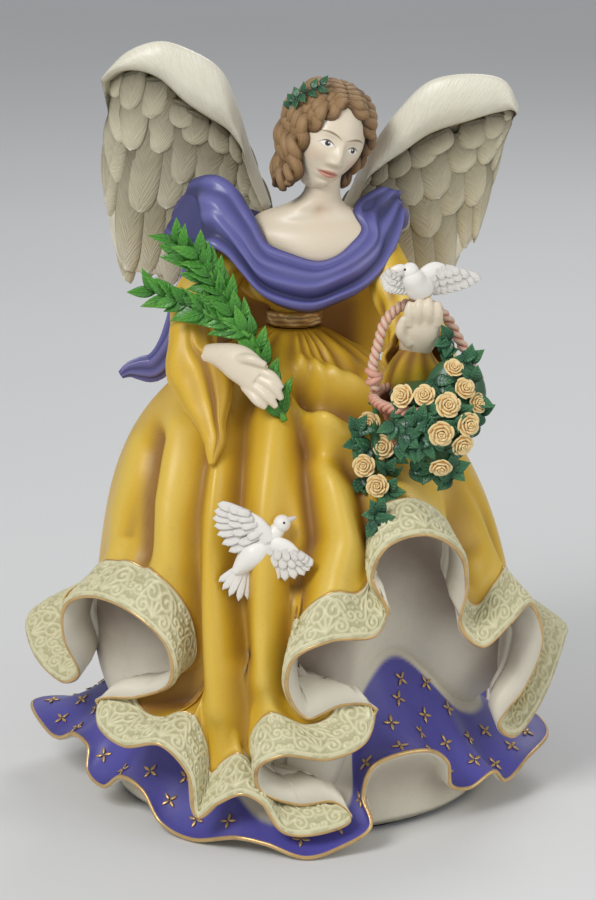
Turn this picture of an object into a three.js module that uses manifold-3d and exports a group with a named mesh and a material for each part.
// Angel figurine of painted cast resin, free standing. Millimetres, +Z up, the front faces -Y.
// Left and right in the names are the angel's own.
import * as THREE from 'three';
import { mergeVertices } from 'three/addons/utils/BufferGeometryUtils.js';
import Module from 'manifold-3d';

const wasm = await Module();
wasm.setup();

// Driving dimensions
const GAP = 0.3; // clearance between neighbouring pieces
const SEAT_TOLERANCE = 0.12; // deviation allowed where a seat is cut
const SEAT_FINISH = 0.004; // deviation allowed once it is cut
const FELT_THICKNESS = 2;
const FELT_SETBACK = 8; // of the felt inside the core's foot
const FOOT_SETBACK = 8.3; // of the core's foot inside the underskirt's hem
const WAIST = new THREE.Vector3(-1.5, 0, 186);
const WAIST_WIDE = 10.4; // half width of the gown at the waist
const WAIST_DEEP = 9.2; // half depth of the gown at the waist
const CORE_TOP = 7; // core radius at the waist
const HEM_EDGE = 2; // thickness of the turned hem
const GOWN_BACK_RADIUS = 92;
const GOWN_BACK_FOLDS = 5;
const GOWN_BELL = 3.6; // roundness of the skirt in front and behind
const GOWN_RIGHT_HIP = 7; // the same over each hip
const GOWN_LEFT_HIP = 5.5;
const GOWN_FOLD_FADE = 3; // how soon the hem's folds fade upward
const GOWN_FLARE = 0.14; // share of the spread that belongs to the flare at the hem
const GOWN_FLARE_POWER = 12; // the higher, the nearer to the hem it starts
const LACE_WIDTH = 18; // of the raised band above the gown's hem
const LACE_RISE = 0.8;
const UNDER_TOP_Z = 105; // hidden upper edge of the underskirt
const UNDER_TOP_RADIUS = 38;
const UNDER_BACK_RADIUS = 96;
const UNDER_BACK_FOLDS = 7;
const UNDER_LINING_Z = 9; // height at which its lining meets the core
const UNDER_FALL = 1.6; // the underskirt drops steeply, then flares
const BELT_HEIGHT = 6;
const BELT_THICKNESS = 2;
const HEAD_CENTRE = new THREE.Vector3(11, -6, 260);
const HEAD_WIDE = 14;
const HEAD_DEEP = 16.5;
const HEAD_TALL = 19.5;
const HEAD_TILT = new THREE.Euler(-0.04, 0.36, 0.36, 'YZX'); // nod, roll, turn
const SHAWL_WALL = 4;
const WING_PEG_RADIUS = 3;
const WING_PEG_LENGTH = 16;
const DOVE_PLACE = new THREE.Vector2(-13, 117); // x and z of the flying dove's breast
const DOVE_RISE = 5; // of its middle above the gown
const DOVE_PIN_RADIUS = 1;
const DOVE_PIN_LENGTH = 9;
const BASKET_RADIUS = 20;
const BASKET_HEIGHT = 22;
const ROPE_RADIUS = 1.7;

// Hem of the gown, front half, from the left of the view to the right: lobes, arches and S-folds
const GOWN_HEM = [
  [-110, 12, 62], [-107, -3, 52], [-94, -22, 46], [-87, -33, 54], [-92, -39, 70], [-91, -44, 84],
  [-80, -54, 91], [-62, -68, 88], [-49, -74, 76], [-48, -72, 61], [-61, -67, 54], [-76, -62, 51],
  [-77, -67, 44], [-67, -78, 39], [-52, -86, 42], [-41, -89, 31], [-38, -91, 15], [-31, -93, 21],
  [-21, -96, 26], [-13, -96, 22], [-5, -97, 11], [8, -98, 11], [20, -94, 15], [14, -90, 20],
  [0, -90, 19], [-15, -93, 26], [-16, -96, 36], [-6, -98, 42], [12, -96, 40], [26, -89, 45],
  [28, -82, 55], [17, -82, 56], [3, -86, 52], [-5, -91, 65], [-2, -95, 79], [12, -95, 86],
  [29, -88, 86], [33, -82, 92], [27, -79, 105], [33, -80, 118], [48, -77, 122], [62, -68, 112],
  [65, -61, 96], [63, -59, 81], [71, -58, 72], [82, -51, 79], [91, -41, 84], [96, -36, 69],
  [89, -42, 51], [79, -48, 38], [85, -42, 30], [97, -25, 39], [108, 0, 57], [109, 12, 58],
];

// Hem of the underskirt, front half, from the left of the view to the right
const UNDER_HEM = [
  [-109, 15, 25], [-101, -5, 19], [-96, -14, 20], [-89, -24, 25], [-83, -32, 22], [-83, -38, 14],
  [-77, -46, 11], [-69, -54, 18], [-60, -62, 15], [-53, -70, 5], [-41, -80, 2], [-23, -91, 7],
  [-12, -95, 6], [3, -99, 2], [16, -96, 5], [27, -91, 11], [24, -84, 20], [28, -82, 32],
  [49, -74, 36], [58, -66, 28], [60, -62, 17], [67, -56, 14], [77, -48, 18], [82, -42, 12],
  [91, -28, 16], [101, -5, 19],
];

// Drapery of the gown's front: height of the fold, its half width, [x, z] points of its line
const GOWN_FOLDS = [
  [4, 7, [[-5, 182], [-9, 153], [-13, 126], [-16, 90], [-13, 67]]],
  [-4.5, 4, [[-14, 175], [-21, 160], [-23, 132], [-25, 104], [-22, 75]]],
  [3.5, 6, [[-31, 141], [-35, 110], [-32, 78], [-30, 53]]],
  [-4, 4, [[-34, 151], [-40, 123], [-42, 94], [-40, 62]]],
  [3, 6, [[-46, 153], [-50, 128], [-50, 107]]],
  [-3, 3.5, [[-53, 148], [-57, 126], [-58, 111]]],
  [3, 7, [[-61, 143], [-67, 117], [-67, 102]]],
  [-4.5, 4.5, [[1, 167], [3, 143], [6, 119], [1, 101]]],
  [4, 7, [[8, 154], [14, 133], [18, 118], [13, 101]]],
  [-4, 4.5, [[5, 150], [17, 144], [24, 138], [28, 119]]],
  [3, 4, [[2, 176], [17, 171], [34, 163]]],
  [-3, 3.5, [[2, 170], [12, 161], [22, 157]]],
  [3, 4, [[1, 165], [8, 156], [20, 151]]],
  [-4, 5, [[59, 149], [64, 128], [66, 107]]],
  [3, 6, [[66, 134], [73, 111], [78, 93]]],
];

// Neck edge and lower edge of the shawl, paired point by point, counted from the breast
const SHAWL_UPPER = [
  [8, -20, 215], [-3, -20, 218], [-12, -18, 222], [-17, -15, 231], [-21, -12, 237], [-25, -10, 243],
  [-30, -8, 246], [-36, -4, 246], [-44, 3, 242], [-32, 12, 235], [5, 15, 224], [30, 12, 234],
  [34, 3, 241], [28, -2, 239], [23, -7, 234], [25, -12, 227], [20, -17, 221], [15, -19, 217],
];
const SHAWL_LOWER = [
  [5, -26, 197], [-6, -27, 199], [-14, -27, 203], [-21, -27, 211], [-27, -26, 218], [-33, -24, 221],
  [-39, -20, 219], [-47, -11, 220], [-53, -3, 224], [-46, 12, 224], [0, 21, 208], [42, 13, 222],
  [41, 2, 230], [40, -6, 224], [37, -12, 217], [32, -18, 210], [25, -22, 204], [15, -25, 200],
];

// Leading edge and feather tips of each wing, from the root outward, and the width of its rolled hood
const RIGHT_WING = {
  lead: [[-11, 19, 231], [-18, 18, 252], [-23, 14, 270], [-30, 10, 286], [-42, 8, 294], [-53, 8, 297],
    [-65, 10, 293], [-73, 16, 283]],
  tips: [[-17, 25, 216], [-23, 29, 210], [-29, 32, 203], [-37, 32, 197], [-48, 32, 194], [-58, 30, 194],
    [-70, 26, 198], [-78, 20, 238]],
  hood: [0.5, 0.55, 0.75, 1, 0.9, 0.6, 0.35, 0.3],
};
const LEFT_WING = {
  lead: [[17, 19, 229], [24, 18, 244], [30, 14, 257], [39, 10, 270], [51, 6, 282], [67, 4, 285],
    [80, 6, 282], [86, 10, 272]],
  tips: [[22, 25, 216], [30, 29, 210], [38, 32, 203], [47, 32, 196], [57, 32, 195], [66, 30, 206],
    [72, 26, 216], [80, 18, 253]],
  hood: [0.5, 0.6, 0.8, 0.95, 1, 1, 0.8, 0.5],
};

const COLOURS = {
  yellow: 0xbe9623,
  blue: 0x5c5c96,
  violet: 0x4b4696,
  pearl: 0xbeb496,
  skin: 0xe1d7be,
  brown: 0x825f3c,
  gold: 0xbe965f,
  white: 0xd7d2b9,
  leaf: 0x46962a,
  darkLeaf: 0x326046,
  rose: 0xe1be78,
  pink: 0xcd8c73,
  wicker: 0xa87a62,
  dove: 0xebe6dc,
  felt: 0x2c2f33,
  brass: 0xb08d4f,
};

const figure = new THREE.Group();
figure.name = 'angel_figurine';

const vec = (p) => new THREE.Vector3(p[0], p[1], p[2]);
const spline = (points, closed = false) => new THREE.CatmullRomCurve3(points.map(vec), closed);
const mix = THREE.MathUtils.lerp;

// Value at t (0 to 1) of a list of evenly spaced values
function along(values, t) {
  const s = t * (values.length - 1);
  const i = Math.min(Math.floor(s), values.length - 2);
  return mix(values[i], values[i + 1], s - i);
}

// Named mesh in its own paint, added to the figure
function piece(name, geometry, colour, roughness = 0.55, metalness = 0) {
  const paint = new THREE.MeshStandardMaterial({ color: colour, roughness, metalness });
  const mesh = new THREE.Mesh(geometry, paint);
  mesh.name = name;
  figure.add(mesh);
  return mesh;
}

// Geometry from points and triangles, turned so that its faces look outward
function closedGeometry(points, faces) {
  let volume = 0;
  for (let i = 0; i < faces.length; i += 3) {
    const [a, b, c] = [points[faces[i]], points[faces[i + 1]], points[faces[i + 2]]];
    volume += a.dot(b.clone().cross(c));
  }
  const geometry = new THREE.BufferGeometry();
  geometry.setFromPoints(points);
  geometry.setIndex(volume < 0 ? faces.slice().reverse() : faces);
  geometry.computeVertexNormals();
  return geometry;
}

// Skin over a row of closed rings; the row is a loop, or its two ends are closed by fans
function loft(rings, loop = false) {
  const n = rings[0].length;
  const points = rings.flat();
  const faces = [];
  const strips = loop ? rings.length : rings.length - 1;
  for (let i = 0; i < strips; i++) {
    const a = i * n;
    const b = ((i + 1) % rings.length) * n;
    for (let j = 0; j < n; j++) {
      const k = (j + 1) % n;
      faces.push(a + j, b + j, b + k, a + j, b + k, a + k);
    }
  }
  if (!loop) {
    for (const end of [0, rings.length - 1]) {
      const middle = new THREE.Vector3();
      rings[end].forEach((p) => middle.addScaledVector(p, 1 / n));
      points.push(middle);
      for (let j = 0; j < n; j++) {
        const pair = [end * n + j, end * n + ((j + 1) % n)];
        faces.push(points.length - 1, ...(end === 0 ? pair : pair.reverse()));
      }
    }
  }
  return closedGeometry(points, faces);
}

// Ring of n points: an ellipse round a centre, spanned by two vectors
function ellipse(centre, a, b, n) {
  const ring = [];
  for (let j = 0; j < n; j++) {
    const angle = (j / n) * 2 * Math.PI;
    ring.push(centre.clone().addScaledVector(a, Math.cos(angle)).addScaledVector(b, Math.sin(angle)));
  }
  return ring;
}

// Level rings [x, y, z, half width, half depth] skinned into one body
function levels(rows, sides) {
  const ex = new THREE.Vector3(1, 0, 0);
  const ey = new THREE.Vector3(0, 1, 0);
  return loft(rows.map(([x, y, z, rx, ry]) => (
    ellipse(new THREE.Vector3(x, y, z), ex.clone().multiplyScalar(rx), ey.clone().multiplyScalar(ry), sides)
  )));
}

// Limb along a path: width across, height along the hint; a hollow end is a cup of given depth and wall
function limb(points, wide, high, { steps = 8, sides = 10, hint = [0, 0, 1], hollow = null } = {}) {
  const curve = spline(points);
  const section = (t, shrink) => {
    const forward = curve.getTangentAt(t);
    const across = forward.clone().cross(vec(hint)).normalize();
    const upward = across.clone().cross(forward);
    across.multiplyScalar(Math.max(along(wide, t) - shrink, 0.2));
    upward.multiplyScalar(Math.max(along(high, t) - shrink, 0.2));
    return ellipse(curve.getPointAt(t), across, upward, sides);
  };
  const rings = [];
  for (let i = 0; i <= steps; i++) rings.push(section(i / steps, 0));
  if (hollow) {
    rings.push(section(1, hollow.wall));
    rings.push(section(1 - hollow.depth, hollow.wall));
  }
  return loft(rings);
}

function ball(centre, radii, sides = 10) {
  const geometry = new THREE.SphereGeometry(1, sides, Math.round(sides * 0.7));
  geometry.scale(radii[0], radii[1], radii[2]);
  geometry.translate(centre[0], centre[1], centre[2]);
  return geometry;
}

// Pointed leaf, folded along its midrib, growing from a point in a direction
function leaf(root, direction, facing, length, width, thickness = 1) {
  const forward = direction.clone().normalize();
  const across = forward.clone().cross(facing).normalize();
  const lift = across.clone().cross(forward).normalize();
  const rings = [[0, 0.3], [0.45, 1], [1, 0.15]].map(([t, w]) => {
    const centre = root.clone().addScaledVector(forward, t * length);
    return ellipse(centre, across.clone().multiplyScalar(w * width / 2),
      lift.clone().multiplyScalar(thickness * mix(0.7, 0.35, t)), 3);
  });
  return loft(rings);
}

function toSolid(geometry) {
  const bare = geometry.clone();
  bare.deleteAttribute('normal');
  bare.deleteAttribute('uv');
  const merged = mergeVertices(bare, 1e-4);
  return new wasm.Manifold(new wasm.Mesh({
    numProp: 3,
    vertProperties: Float32Array.from(merged.attributes.position.array),
    triVerts: Uint32Array.from(merged.index.array),
  }));
}

function toGeometry(solid) {
  const mesh = solid.getMesh();
  const geometry = new THREE.BufferGeometry();
  geometry.setAttribute('position', new THREE.Float32BufferAttribute(mesh.vertProperties, 3));
  geometry.setIndex(Array.from(mesh.triVerts));
  geometry.computeVertexNormals();
  return geometry;
}

const fuse = (...geometries) => toGeometry(geometries.map(toSolid).reduce((a, b) => a.add(b)));

// The same body with every point moved outward along its normal
function swollen(mesh, distance) {
  mesh.updateWorldMatrix(true, false);
  const bare = mesh.geometry.clone().applyMatrix4(mesh.matrixWorld);
  bare.deleteAttribute('normal');
  bare.deleteAttribute('uv');
  const geometry = mergeVertices(bare, 1e-4);
  geometry.computeVertexNormals();
  const { position, normal } = geometry.attributes;
  for (let i = 0; i < position.count; i++) {
    position.setXYZ(i, position.getX(i) + distance * normal.getX(i),
      position.getY(i) + distance * normal.getY(i), position.getZ(i) + distance * normal.getZ(i));
  }
  return toSolid(geometry);
}

// Seat a piece on its neighbours: what would lie in them, or nearer than the clearance, is cut away
function seat(mesh, ...neighbours) {
  mesh.updateWorldMatrix(true, false);
  let solid = toSolid(mesh.geometry.clone().applyMatrix4(mesh.matrixWorld));
  const clear = (distance) => {
    for (const neighbour of neighbours) solid = solid.subtract(swollen(neighbour, distance));
  };
  clear(GAP);
  solid = solid.simplify(SEAT_TOLERANCE);
  clear(2 * SEAT_FINISH);
  clear(0);
  const bodies = solid.simplify(SEAT_FINISH).decompose().sort((a, b) => b.volume() - a.volume());
  mesh.geometry = toGeometry(bodies[0]).applyMatrix4(mesh.matrixWorld.clone().invert());
  return mesh;
}

// Back half of a hem: organ-pipe folds between the two ends of the front half
function backHem(front, radius, folds, crestZ, valleyZ) {
  const start = Math.atan2(front.at(-1)[1], front.at(-1)[0]);
  const end = Math.atan2(front[0][1], front[0][0]);
  const points = [];
  for (let i = 1; i < 2 * folds; i++) {
    const angle = mix(start, end, i / (2 * folds));
    const crest = i % 2 === 1;
    const r = radius * (crest ? 1 : 0.88);
    points.push([r * Math.cos(angle), r * Math.sin(angle), crest ? crestZ : valleyZ]);
  }
  return points;
}

// Running mean of a loop of points, taken twice
function softened(points, reach) {
  let current = points;
  for (let pass = 0; pass < 2; pass++) {
    current = current.map((_, j) => {
      const mean = new THREE.Vector3();
      for (let k = -reach; k <= reach; k++) mean.add(current.at((j + k) % current.length));
      return mean.multiplyScalar(1 / (2 * reach + 1));
    });
  }
  return current;
}

// Columns of a draped skirt: from a ring at the top to the hem, the folds deepening downward, with
// a raised band along the hem
function drape(hemPoints, { perPoint, reach, rows, top, spread, fall, fold, lift = () => 0, band = null }) {
  const curve = spline(hemPoints, true);
  const count = hemPoints.length * perPoint;
  const hem = Array.from({ length: count }, (_, j) => curve.getPoint(j / count));
  const soft = softened(hem, reach);
  return hem.map((edge, j) => {
    const angle = Math.atan2(soft[j].y - WAIST.y, soft[j].x - WAIST.x);
    const start = top(angle);
    const outward = new THREE.Vector3(Math.cos(angle), Math.sin(angle), 0.2);
    const place = (v) => {
      const out = spread(v, angle);
      const p = new THREE.Vector3(mix(start.x, soft[j].x, out), mix(start.y, soft[j].y, out),
        mix(start.z, soft[j].z, 1 - (1 - v) ** fall));
      p.addScaledVector(edge.clone().sub(soft[j]), v ** fold);
      return p.addScaledVector(outward, lift(p, angle, v));
    };
    let last = 1;
    while (band && place(last).distanceTo(edge) < band.width) last -= 0.01;
    const column = Array.from({ length: rows + 1 }, (_, i) => place(last * (i / rows) ** 1.35));
    if (band) {
      const along = hem[(j + 1) % count].clone().sub(hem.at(j - 1));
      const raised = edge.clone().sub(column.at(-1)).cross(along).setLength(band.rise);
      column.push(...[last + 0.02, 1].map((v) => place(v).add(raised)));
    }
    return { angle, column, soft: soft[j] };
  });
}

const around = (angle, rx, ry, z) => (
  new THREE.Vector3(WAIST.x * z / WAIST.z + rx * Math.cos(angle), ry * Math.sin(angle), z)
);

// Core and felt
const FOOT_RADIUS = Math.min(...UNDER_HEM.map(([x, y]) => Math.hypot(x, y))) - FOOT_SETBACK;
const FELT_RADIUS = FOOT_RADIUS - FELT_SETBACK;
const coreRadius = (z) => FOOT_RADIUS * (1 - z / WAIST.z) ** 1.2 + CORE_TOP * (z / WAIST.z);
const coreLevels = [FELT_THICKNESS + GAP, UNDER_LINING_Z, 40, UNDER_TOP_Z, 150, WAIST.z - GAP];
const coreRows = coreLevels.map((z) => [WAIST.x * z / WAIST.z, 0, z, coreRadius(z), coreRadius(z)]);
const core = piece('core', levels(coreRows, 22), COLOURS.white);
const felt = piece('felt_pad', new THREE.CylinderGeometry(FELT_RADIUS, FELT_RADIUS, FELT_THICKNESS, 26),
  COLOURS.felt, 0.95);
felt.rotation.x = Math.PI / 2;
felt.position.z = FELT_THICKNESS / 2;

// Underskirt: outer face, turned hem, lining in to the core
const underBack = backHem(UNDER_HEM, UNDER_BACK_RADIUS, UNDER_BACK_FOLDS, 20, 4);
const underColumns = drape([...UNDER_HEM, ...underBack], {
  perPoint: 2, reach: 5, rows: 3, spread: (v) => v, fall: UNDER_FALL, fold: 3,
  top: (angle) => around(angle, UNDER_TOP_RADIUS, UNDER_TOP_RADIUS, UNDER_TOP_Z),
});
const underskirt = piece('underskirt', loft(underColumns.map(({ angle, column }) => {
  const edge = column.at(-1);
  const inward = new THREE.Vector3(-Math.cos(angle), -Math.sin(angle), 0);
  const onCore = (z) => around(angle, coreRadius(z) + GAP, coreRadius(z) + GAP, z);
  const [foot, upper] = [onCore(UNDER_LINING_Z), onCore(UNDER_TOP_Z)];
  const vault = edge.clone().lerp(foot, 0.6).add(new THREE.Vector3(0, 0, 3));
  return [...column, edge.clone().addScaledVector(inward, HEM_EDGE), vault, foot, upper];
}), true), COLOURS.violet, 0.5);

// Point just outside the underskirt at an angle and a height, for the gown that lies on it
function onUnderskirt(angle, height) {
  const { column } = underColumns.reduce((best, other) => (
    Math.cos(other.angle - angle) > Math.cos(best.angle - angle) ? other : best
  ));
  const i = Math.max(column.findIndex((p) => p.z < height), 1);
  const [above, below] = [column[i - 1], column[i]];
  const p = above.clone().lerp(below, (above.z - height) / (above.z - below.z));
  const reach = Math.hypot(p.x - WAIST.x * height / WAIST.z, p.y) + 2 * GAP;
  return around(angle, reach, reach, height);
}

// Spread of the gown from waist (0) to hem (1): a bell that flares at the end
function bellShape(v, angle) {
  const aside = Math.cos(angle);
  const bell = GOWN_BELL + (GOWN_RIGHT_HIP - GOWN_BELL) * THREE.MathUtils.smoothstep(-aside, 0.2, 0.95)
    + (GOWN_LEFT_HIP - GOWN_BELL) * THREE.MathUtils.smoothstep(aside, 0.7, 1);
  const round = (1 - Math.exp(-bell * v)) / (1 - Math.exp(-bell));
  return (1 - GOWN_FLARE) * round + GOWN_FLARE * v ** GOWN_FLARE_POWER;
}

// Rise of the drapery at a point of the gown's front, none at the waist, the hem and the back
const nearest = new THREE.Vector3();
const foldLines = GOWN_FOLDS.map(([height, half, line]) => {
  const points = line.map(([x, z]) => new THREE.Vector3(x, 0, z));
  return { height, half, legs: points.slice(1).map((b, i) => new THREE.Line3(points[i], b)) };
});
function drapery(p, angle, v) {
  const flat = new THREE.Vector3(p.x, 0, p.z);
  let rise = 0;
  for (const { height, half, legs } of foldLines) {
    const distances = legs.map((leg) => leg.closestPointToPoint(flat, true, nearest).distanceTo(flat));
    const apart = Math.min(...distances);
    rise += height * Math.exp(-((apart / half) ** 2));
  }
  const window = THREE.MathUtils.smoothstep(v, 0, 0.15) * (1 - THREE.MathUtils.smoothstep(v, 0.75, 0.97));
  return rise * window * THREE.MathUtils.smoothstep(-Math.sin(angle), 0, 0.4);
}

// Gown skirt: outer face, turned hem, lining in to the underskirt
const GOWN_LINING_DROP = 13; // the lining meets the underskirt this far below the middle of the folds
const gownBack = backHem(GOWN_HEM, GOWN_BACK_RADIUS, GOWN_BACK_FOLDS, 62, 40);
const gownColumns = drape([...GOWN_HEM, ...gownBack], {
  perPoint: 2, reach: 9, rows: 5, spread: bellShape, fall: 1, fold: GOWN_FOLD_FADE, lift: drapery,
  band: { width: LACE_WIDTH, rise: LACE_RISE },
  top: (angle) => around(angle, WAIST_WIDE, WAIST_DEEP, WAIST.z),
});
const gown = piece('gown_skirt', loft(gownColumns.map(({ angle, column, soft }) => {
  const edge = column.at(-1);
  const inward = new THREE.Vector3(-Math.cos(angle), -Math.sin(angle), 0);
  const foot = onUnderskirt(angle, Math.min(soft.z - GOWN_LINING_DROP, UNDER_TOP_Z - 15));
  const vault = edge.clone().lerp(foot, 0.55).add(new THREE.Vector3(0, 0, 6));
  const upper = around(angle, CORE_TOP + GAP, CORE_TOP + GAP, WAIST.z);
  return [...column, edge.clone().addScaledVector(inward, HEM_EDGE), vault, foot, upper];
}), true), COLOURS.yellow, 0.4);

// Depth of a mesh's face behind a point of the view
const caster = new THREE.Raycaster();
function faceOf(mesh, x, z) {
  caster.set(new THREE.Vector3(x, -300, z), new THREE.Vector3(0, 1, 0));
  return caster.intersectObject(mesh)[0].point.y;
}

// Pin in the gown's front that carries the flying dove
const pinRod = new THREE.CylinderGeometry(DOVE_PIN_RADIUS, DOVE_PIN_RADIUS, DOVE_PIN_LENGTH, 10);
const dovePin = piece('flying_dove_pin', pinRod, COLOURS.brass, 0.4, 0.9);
dovePin.position.set(DOVE_PLACE.x, faceOf(gown, DOVE_PLACE.x, DOVE_PLACE.y), DOVE_PLACE.y);
seat(gown, dovePin);
seat(underskirt, gown);

// Bodice, belt, bust
const bodice = piece('bodice', levels([
  [WAIST.x, 0, WAIST.z + GAP, WAIST_WIDE - 1, WAIST_DEEP - 0.6],
  [WAIST.x, 0, WAIST.z + BELT_HEIGHT + 2, WAIST_WIDE - 1, WAIST_DEEP - 0.4], [4, -2, 203, 16, 14],
  [7, -2, 213, 21, 16], [7, -1, 222, 23, 14], [7, 1, 230, 18, 10],
], 14), COLOURS.yellow, 0.4);
const BELT_Z = WAIST.z + 2 * GAP;
const belt = piece('waist_belt', loft(Array.from({ length: 20 }, (_, j) => {
  const angle = (j / 20) * 2 * Math.PI;
  const at = (grow, up) => new THREE.Vector3(WAIST.x + (WAIST_WIDE - 2 + grow) * Math.cos(angle),
    (WAIST_DEEP - 1.6 + grow) * Math.sin(angle), BELT_Z + up);
  const rim = 1 + BELT_THICKNESS;
  const edges = [at(0, 0.2), at(rim - 0.5, 0), at(rim + 0.5, BELT_HEIGHT / 2)];
  return [...edges, at(rim - 0.5, BELT_HEIGHT), at(0, BELT_HEIGHT)];
}), true), COLOURS.gold, 0.45);
const bust = piece('bust', levels([
  [8, -9, 208, 11, 6], [8, -8, 216, 18, 11], [7, -4, 224, 27, 13], [5, -2, 230, 21, 10.5],
  [7, -4, 235, 11, 8.5], [9, -5, 239, 7.4, 7.4], [11, -6.5, 249, 6.6, 6.8],
], 14), COLOURS.skin, 0.45);

// Head in its own frame: the face looks along -Y, the chin is below
const headFrame = new THREE.Group();
headFrame.name = 'head_frame';
headFrame.position.copy(HEAD_CENTRE);
headFrame.rotation.copy(HEAD_TILT);
figure.add(headFrame);

function headGeometry(rows, columns) {
  const rings = [];
  for (let i = 1; i < rows; i++) {
    const polar = (i / rows) * Math.PI;
    const height = Math.cos(polar);
    const jaw = THREE.MathUtils.smoothstep(-height, -0.1, 1);
    const ring = [];
    for (let j = 0; j < columns; j++) {
      const turn = (j / columns) * 2 * Math.PI;
      const front = Math.max(Math.cos(turn), 0);
      const round = Math.sin(polar) ** 0.85;
      const wide = HEAD_WIDE * (1 - 0.3 * jaw) * round;
      const deep = HEAD_DEEP * (1 - 0.12 * jaw * front - 0.35 * jaw * (1 - front)) * round;
      const nose = 2.6 * Math.exp(-(((height + 0.15) / 0.14) ** 2)) * front ** 40;
      const y = -deep * Math.cos(turn) - nose;
      ring.push(new THREE.Vector3(wide * Math.sin(turn), y, HEAD_TALL * height));
    }
    rings.push(ring);
  }
  return loft(rings);
}
const head = piece('head', headGeometry(10, 14), COLOURS.skin, 0.45);
headFrame.add(head);

// Hair: a cap round the head, open at the face, with side waves and hanging locks
const cap = ball([0, 2.5, 3.5], [HEAD_WIDE + 3.2, HEAD_DEEP + 2.5, HEAD_TALL - 0.5], 12);
const locks = [
  [[[-13, -6, 10], [-16.5, -3, 2], [-16, 0, -8], [-17, 1, -18], [-15, 0, -26]], [3, 4.5, 4, 4, 1.6]],
  [[[-10, 4, 0], [-12, 8, -12], [-13, 8, -22], [-11, 6, -28]], [5, 5.5, 4.5, 1.6]],
  [[[13, -6, 10], [16, -3, 3], [15, 1, -6], [14, 4, -15], [11, 5, -24]], [3, 4, 4, 3.6, 1.4]],
  [[[0, 12, 2], [0, 15, -8], [0, 13, -18], [0, 10, -26]], [9, 9, 7, 2]],
].map(([path, radii]) => limb(path, radii, radii, { steps: 5, sides: 6, hint: [0, 1, 0.1] }));
const face = ball([0, -20, -4], [13.2, 14, 20], 12);
const hairSolid = toSolid(fuse(cap, ...locks)).subtract(toSolid(face));
const hair = piece('hair', toGeometry(hairSolid), COLOURS.brown, 0.6);
headFrame.add(hair);

// Leaves pinned into the hair
const SPRIG_LEAVES = 6;
const SPRIG_PATH = [[-17.5, 1, 8], [-16, -2, 13.5], [-11, -4, 18.5]];
const sprig = piece('hair_sprig', fuse(
  limb(SPRIG_PATH, [1.6, 1.9, 1.2], [1.6, 1.9, 1.2], { steps: 3, sides: 6, hint: [0.5, 1, 0] }),
  ...Array.from({ length: SPRIG_LEAVES }, (_, i) => {
    const curve = spline(SPRIG_PATH);
    const t = (i + 0.5) / SPRIG_LEAVES;
    const facing = new THREE.Vector3(-0.8, -0.5, 0.4);
    const aside = curve.getTangentAt(t).cross(facing).normalize().multiplyScalar(i % 2 ? 0.9 : -0.9);
    const direction = curve.getTangentAt(t).multiplyScalar(mix(-0.6, 1, t)).add(aside);
    return leaf(curve.getPointAt(t), direction, facing, 6, 4);
  }),
), COLOURS.darkLeaf, 0.6);
headFrame.add(sprig);

// Shawl: a draped ring round the shoulders with lengthwise folds
function shawlGeometry(perPoint, rows) {
  const upper = spline(SHAWL_UPPER, true);
  const lower = spline(SHAWL_LOWER, true);
  const count = SHAWL_UPPER.length * perPoint;
  const rings = [];
  for (let j = 0; j < count; j++) {
    const [a, b] = [upper.getPoint(j / count), lower.getPoint(j / count)];
    const middle = a.clone().lerp(b, 0.5).sub(new THREE.Vector3(6, 2, 0));
    const outward = middle.setZ(0).normalize().setZ(0.6).normalize();
    const outer = [];
    const inner = [];
    for (let i = 0; i <= rows; i++) {
      const s = i / rows;
      const swell = 3.5 * Math.sin(Math.PI * s) + 0.9 * Math.sin(3 * Math.PI * s);
      const p = a.clone().lerp(b, s).addScaledVector(outward, swell);
      outer.push(p);
      const wall = SHAWL_WALL * (0.5 + 0.5 * Math.sin(Math.PI * s));
      inner.unshift(p.clone().addScaledVector(outward, -wall));
    }
    rings.push([...outer, ...inner]);
  }
  return loft(rings, true);
}
const shawl = piece('shawl', shawlGeometry(2, 3), COLOURS.blue, 0.45);
const shawlTail = piece('shawl_tail', limb(
  [[-43, 9, 223], [-46, 14, 206], [-50, 18, 188], [-57, 20, 172], [-71, 22, 161]],
  [3, 3, 3, 2.5, 1.5], [6, 7, 9, 9, 6], { steps: 8, sides: 8, hint: [0.8, 0, 0.6] },
), COLOURS.blue, 0.45);

// Wing: feathered plate, rolled forward along its leading edge, scalloped along its tips
const WING_STATIONS = 16;
const WING_FRONT = [
  [0, 3], [0.06, 8], [0.14, 9.5], [0.22, 6], [0.27, -1.5], [0.45, -3], [0.7, -1], [1, 1],
];
const WING_BACK = [[1, -1], [0.75, -4.5], [0.45, -8], [0.2, -5], [0.05, -2.5]];
function wingGeometry({ lead, tips, hood }) {
  const [leadCurve, tipCurve] = [spline(lead), spline(tips)];
  const rings = [];
  for (let i = 0; i <= WING_STATIONS; i++) {
    const u = i / WING_STATIONS;
    const a = leadCurve.getPoint(u);
    const b = tipCurve.getPoint(u);
    b.lerp(a, 0.07 * (i % 2));
    const chord = b.clone().sub(a);
    const side = leadCurve.getTangent(u);
    const forward = side.cross(chord).normalize();
    if (forward.y > 0) forward.negate();
    const thick = mix(0.55, 1, Math.sin(Math.PI * Math.min(u * 1.15, 0.95)));
    const front = WING_FRONT.map(([s, lift]) => (s < 0.3 ? [s * along(hood, u), lift] : [s, lift]));
    rings.push([...front, ...WING_BACK].map(([s, lift]) => (
      a.clone().addScaledVector(chord, s).addScaledVector(forward, lift * thick)
    )));
  }
  return loft(rings);
}
const wings = [['right_wing', RIGHT_WING], ['left_wing', LEFT_WING]].map(([name, edges]) => (
  piece(name, wingGeometry(edges), COLOURS.pearl, 0.4)
));
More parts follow.
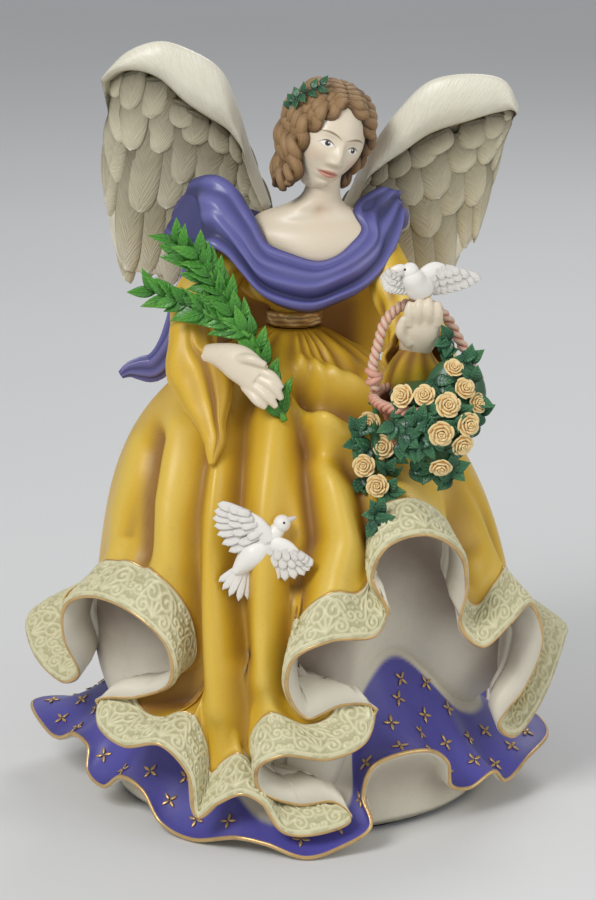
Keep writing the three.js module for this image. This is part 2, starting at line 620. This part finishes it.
const pegs = [['right_wing_peg', -12], ['left_wing_peg', 20]].map(([name, x]) => {
  const rod = new THREE.CylinderGeometry(WING_PEG_RADIUS, WING_PEG_RADIUS, WING_PEG_LENGTH, 14);
  const peg = piece(name, rod, COLOURS.brass, 0.4, 0.9);
  peg.position.set(x, 20, 225);
  return peg;
});

// Sleeves, each with an open cuff
const sleeve = { steps: 9, sides: 12, hollow: { depth: 0.2, wall: 2 } };
const rightSleeve = piece('right_sleeve', limb(
  [[-18, -2, 222], [-36, -12, 205], [-45, -18, 184], [-42, -28, 166], [-31, -37, 161]],
  [8, 10, 11, 11, 9], [8, 10, 13, 20, 26], { ...sleeve, hint: [0, 0, 1] },
), COLOURS.yellow, 0.4);
const leftSleeve = piece('left_sleeve', limb(
  [[29, -2, 221], [36, -11, 206], [44, -21, 191], [48, -32, 179], [45, -42, 181]],
  [8, 9, 10.5, 12, 13], [8, 9, 10.5, 13, 15], { ...sleeve, hint: [0.2, 0, 1] },
), COLOURS.yellow, 0.4);

// Hand: palm from the wrist, four fingers and a thumb given by root, joint and tip
const FINGER = [2.2, 2.1, 2, 1.4];
function handGeometry(palm, wide, high, fingers, hint) {
  return fuse(
    limb(palm, wide, high, { steps: 4, sides: 8, hint }),
    ...fingers.map((path) => limb(path, FINGER, FINGER, { steps: 3, sides: 6, hint })),
  );
}
const rightHand = piece('right_hand', handGeometry(
  [[-38, -36, 180], [-31, -43, 183], [-22, -50, 181], [-15, -54, 176]],
  [4.4, 4.6, 7, 6.5], [4.2, 4, 4, 3.2],
  [
    [[-18, -52, 180], [-10, -56, 177.5], [-6, -57, 173]],
    [[-17, -53, 177], [-9, -57.5, 173.5], [-6, -58, 169]],
    [[-19, -53, 175], [-11.5, -57.5, 170], [-8, -58, 166]],
    [[-20, -52, 173], [-15, -56.5, 168], [-12, -57, 165.5]],
    [[-25, -49, 182], [-18, -55, 184], [-12, -57, 182]],
  ],
  [-0.5, -1, 0.3],
), COLOURS.skin, 0.45);
const leftHand = piece('left_hand', handGeometry(
  [[48, -29, 178], [44, -47, 185], [46, -56, 194], [47, -58, 200]],
  [4, 4.2, 6.6, 7], [4, 3.8, 3.6, 2.8],
  [
    [[42, -58, 198], [41.5, -60, 203], [42, -60, 207]],
    [[45.4, -58.5, 199], [45, -61, 204], [45.4, -60, 208.5]],
    [[48.8, -58.5, 199], [48.8, -61, 204], [48.8, -60, 208.5]],
    [[52, -58, 198], [52.2, -60, 203], [52, -59.5, 207]],
    [[42, -55, 190], [38.5, -58, 195], [39.5, -60, 201]],
  ],
  [0, -1, 0],
), COLOURS.skin, 0.45);

// Olive branch: two leafy stems that meet in the right hand
const STEMS = [
  { pairs: 9, path: [[-5, -55, 160], [-11, -48.5, 173], [-18, -45, 191], [-28, -43, 204], [-38, -39, 215],
    [-47, -35, 226]] },
  { pairs: 6, path: [[-18, -46, 191], [-29, -44, 197], [-41, -41, 202], [-56, -37, 207]] },
  { pairs: 3, path: [[-22, -45, 197], [-30, -43, 210], [-38, -40, 222]] },
];
const OLIVE_LEAF = { length: 11, width: 4.6, thickness: 1.6 };
const branchParts = STEMS.flatMap(({ pairs, path }) => {
  const curve = spline(path);
  const parts = [limb(path, [1.3, 1.3, 0.9], [1.3, 1.3, 0.9], { steps: 6, sides: 5, hint: [0, 1, 0] })];
  for (let i = 0; i < pairs; i++) {
    const t = (i + 0.6) / pairs;
    const root = curve.getPointAt(t);
    const forward = curve.getTangentAt(t);
    const aside = forward.clone().cross(new THREE.Vector3(0, -1, 0)).normalize();
    for (const side of [-1, 1]) {
      const direction = forward.clone().addScaledVector(aside, 0.75 * side);
      direction.y -= 0.25;
      const facing = new THREE.Vector3(0, -1, 0.2 * side);
      parts.push(leaf(root, direction, facing, OLIVE_LEAF.length, OLIVE_LEAF.width, OLIVE_LEAF.thickness));
    }
  }
  return parts;
});
const branch = piece('olive_branch', fuse(...branchParts), COLOURS.leaf, 0.5);

// Doves
const feathers = { steps: 5, sides: 8, hint: [0, 1, 0] };
const flyingDove = piece('flying_dove', fuse(
  limb([[-26, 0, 104], [-20, 0, 110], [-13, 0, 117], [-7, 0, 123], [-3, 0, 127]],
    [2.5, 3, 4.5, 3.4, 2.6], [1.2, 2.6, 4, 3.2, 2.6], { steps: 7, sides: 10, hint: [0, 1, 0] }),
  limb([[-4, 0, 127], [0.5, 0, 129.4]], [1.4, 0.4], [1.4, 0.4], { steps: 2, sides: 6, hint: [0, 1, 0] }),
  limb([[-11, -1, 118], [-17, -2, 125], [-24, -3, 131], [-29, -3, 135]],
    [5, 7.5, 7, 2.5], [2, 1.6, 1.3, 0.7], feathers),
  limb([[-11, -1, 117], [-6, -2, 115], [-1, -3, 113], [4, -3, 112]],
    [5, 5, 4, 1.2], [2, 1.6, 1.3, 0.7], feathers),
  limb([[-20, 0, 110], [-24, 0, 106], [-29, 0, 102]], [2.5, 4, 5], [1.6, 1.2, 0.8], feathers),
), COLOURS.dove, 0.5);
flyingDove.position.y = dovePin.position.y - DOVE_RISE;
const perchedDove = piece('perched_dove', fuse(
  ball([44, -58, 212.6], [6, 6.5, 4.6], 9), ball([41.5, -61, 219.4], [3.2, 3.6, 3.2], 8),
  limb([[41.5, -62, 218], [42, -60, 213]], [2.8, 3.6], [2.8, 3.6], { steps: 2, sides: 8, hint: [0, 1, 0] }),
  limb([[41, -63, 219.4], [40.6, -67, 218.4]], [1.3, 0.4], [1.3, 0.4], { steps: 2, sides: 6 }),
  limb([[42, -58, 216], [36, -60, 217], [33, -60, 213]], [4.5, 5.5, 2.5], [2, 1.5, 0.8], feathers),
  limb([[46, -57, 215], [53, -54, 218], [61, -52, 216], [68, -50, 213.5]],
    [4.5, 5, 3.4, 1], [2, 1.6, 1.2, 0.6], feathers),
), COLOURS.dove, 0.5);

// Basket with its rope handle
const BASKET = new THREE.Vector3(48, -57, 150);
const bowl = piece('basket_bowl', new THREE.LatheGeometry([
  [0, 0], [0.55, 0], [0.8, 0.3], [1, 1], [0.9, 1], [0.72, 0.4], [0, 0.25],
].map(([r, h]) => new THREE.Vector2(r * BASKET_RADIUS, h * BASKET_HEIGHT)), 20), COLOURS.wicker, 0.7);
bowl.rotation.x = Math.PI / 2;
bowl.position.copy(BASKET);

const HANDLE = [
  [29, -59, 173], [28, -59, 181], [30, -58, 190], [33, -56, 199], [39, -53, 204],
  [47, -51, 205], [55, -50, 200], [61, -50, 190], [66, -53, 180], [67, -55, 173],
];
const ROPE_SIDES = 6;
function ropeGeometry(points, radius, turns, steps) {
  const curve = spline(points);
  const frames = curve.computeFrenetFrames(steps);
  const rings = [];
  for (let i = 0; i <= steps; i++) {
    const t = i / steps;
    const ring = [];
    for (let j = 0; j < ROPE_SIDES; j++) {
      const angle = (j / ROPE_SIDES) * 2 * Math.PI;
      const r = radius * (1 + 0.22 * Math.cos(2 * angle - turns * 2 * Math.PI * t));
      ring.push(curve.getPointAt(t).addScaledVector(frames.normals[i], r * Math.cos(angle))
        .addScaledVector(frames.binormals[i], r * Math.sin(angle)));
    }
    rings.push(ring);
  }
  return loft(rings);
}
const handle = piece('basket_handle', ropeGeometry(HANDLE, ROPE_RADIUS, 9, 32), COLOURS.pink, 0.6);

// Greenery: a mound that fills the basket and spills over its front, with sprays of leaves
const mound = new THREE.Mesh(fuse(
  ball([49, -58, 171], [16, 15, 6], 9), ball([54, -69, 162], [14, 7, 12], 9),
  ball([59, -60, 171], [13, 8, 16], 9), ball([54, -69, 152], [8, 6, 9], 7),
));
const ROSE_LEAF_THICKNESS = 1.6;
const spray = (root, angles, length, width) => angles.map((angle) => {
  const direction = new THREE.Vector3(Math.cos(angle), -0.35, Math.sin(angle));
  return leaf(root, direction, new THREE.Vector3(0, -1, 0.3), length, width, ROSE_LEAF_THICKNESS);
});
const on = (mesh, x, z, rise) => new THREE.Vector3(x, faceOf(mesh, x, z) - rise, z);
const basketGreenery = piece('basket_greenery', fuse(
  mound.geometry,
  ...spray(on(mound, 45, 170, 0), [3.4, 4.2], 10, 6),
  ...spray(on(mound, 63, 172, 0), [0.2, 1], 9, 6),
  ...spray(on(mound, 60, 178, 0), [1.4, 2.4], 8, 5.5),
  ...spray(on(mound, 51, 152, 0), [3.3, 4.2, 5.4], 10, 5.5),
), COLOURS.darkLeaf, 0.55);

// Vine on the gown below the basket
const VINE = [[30, 162], [29, 156], [30, 148], [28, 141], [31, 133], [30, 126]];
const garlandGreenery = piece('garland_greenery', fuse(
  limb(VINE.map(([x, z]) => on(gown, x, z, 0.6).toArray()), [1.8, 2.2, 1.4], [1.8, 2.2, 1.4],
    { steps: 7, sides: 6, hint: [0, 1, 0] }),
  ...spray(on(gown, 30, 160, 1.5), [0.5, 2.4], 9, 5),
  ...spray(on(gown, 31, 146, 1.5), [-0.2, 3.4], 9, 5),
  ...spray(on(gown, 31, 133, 1.5), [-0.9, 4.2], 9, 5),
  ...spray(on(gown, 30, 127, 1.2), [5.2], 8, 4.5),
), COLOURS.darkLeaf, 0.55);

// Roses: [x, z, diameter], each lying on the greenery behind it
const BASKET_ROSES = [
  [39, 173, 9], [47, 174, 8], [55.5, 171, 9], [63, 164, 8.5], [53, 161, 9], [61, 156, 8],
  [62, 176, 8], [58, 183, 7.5], [67, 170, 7.5], [53, 148, 8.5],
];
const basketMiddle = new THREE.Vector2(52, 163);
const ROSE_FACING = 22; // the larger, the more the roses look to the front
const GARLAND_ROSES = [[27, 158, 8.5], [32, 150, 9], [25, 144, 8], [30, 137, 8]];
const ROSE_PROFILE = [[0.4, -0.45], [0.98, 0], [0.72, 0.4], [0.5, 0.24], [0.28, 0.5]];
const ROSE_SIDES = 8;
const roseGeometry = (diameter) => loft(ROSE_PROFILE.map(([r, h], i) => {
  const ring = [];
  for (let j = 0; j < ROSE_SIDES; j++) {
    const angle = ((j + 0.5 * i) / ROSE_SIDES) * 2 * Math.PI;
    const petal = r * (1 + 0.08 * Math.cos(4 * angle));
    const p = new THREE.Vector3(petal * Math.cos(angle), petal * Math.sin(angle), h);
    ring.push(p.multiplyScalar(diameter / 2));
  }
  return ring;
}));
function rose(name, position, facing, diameter) {
  const mesh = piece(name, roseGeometry(diameter), COLOURS.rose, 0.55);
  mesh.position.copy(position);
  mesh.quaternion.setFromUnitVectors(new THREE.Vector3(0, 0, 1), facing.clone().normalize());
  return mesh;
}
const basketRoses = BASKET_ROSES.map(([x, z, d], i) => {
  const facing = new THREE.Vector3(x - basketMiddle.x, -ROSE_FACING, z - basketMiddle.y);
  return rose(`basket_rose_${i + 1}`, on(mound, x, z, 0.3 * d), facing, d);
});
const garlandRoses = GARLAND_ROSES.map(([x, z, d], i) => (
  rose(`garland_rose_${i + 1}`, on(gown, x, z, 0.45 * d), new THREE.Vector3(-0.2, -1, 0.25), d)
));

// Seats
seat(shawl, ...pegs);
seat(bust, shawl);
seat(bodice, shawl, bust, ...pegs);
seat(belt, bodice, gown);
seat(head, bust);
seat(hair, head, bust, shawl);
seat(sprig, hair, head);
wings.forEach((wing) => seat(wing, shawl, hair, ...pegs));
seat(rightSleeve, shawl, bodice, bust, gown, rightHand);
seat(leftSleeve, shawl, bodice, bust, gown, leftHand);
seat(shawlTail, gown, rightSleeve, shawl, bodice);
seat(branch, rightHand, rightSleeve, gown);
seat(flyingDove, gown, dovePin);
seat(perchedDove, leftHand);
seat(bowl, gown, leftSleeve);
seat(handle, leftHand, bowl, leftSleeve, gown);
seat(garlandGreenery, gown, bowl);
seat(basketGreenery, bowl, handle, gown, leftSleeve, leftHand, garlandGreenery);
const roses = [...garlandRoses, ...basketRoses];
const bed = [garlandGreenery, basketGreenery, bowl, handle, gown, leftSleeve];
roses.forEach((mesh, i) => seat(mesh, ...bed, ...roses.slice(0, i)));

export default figure;
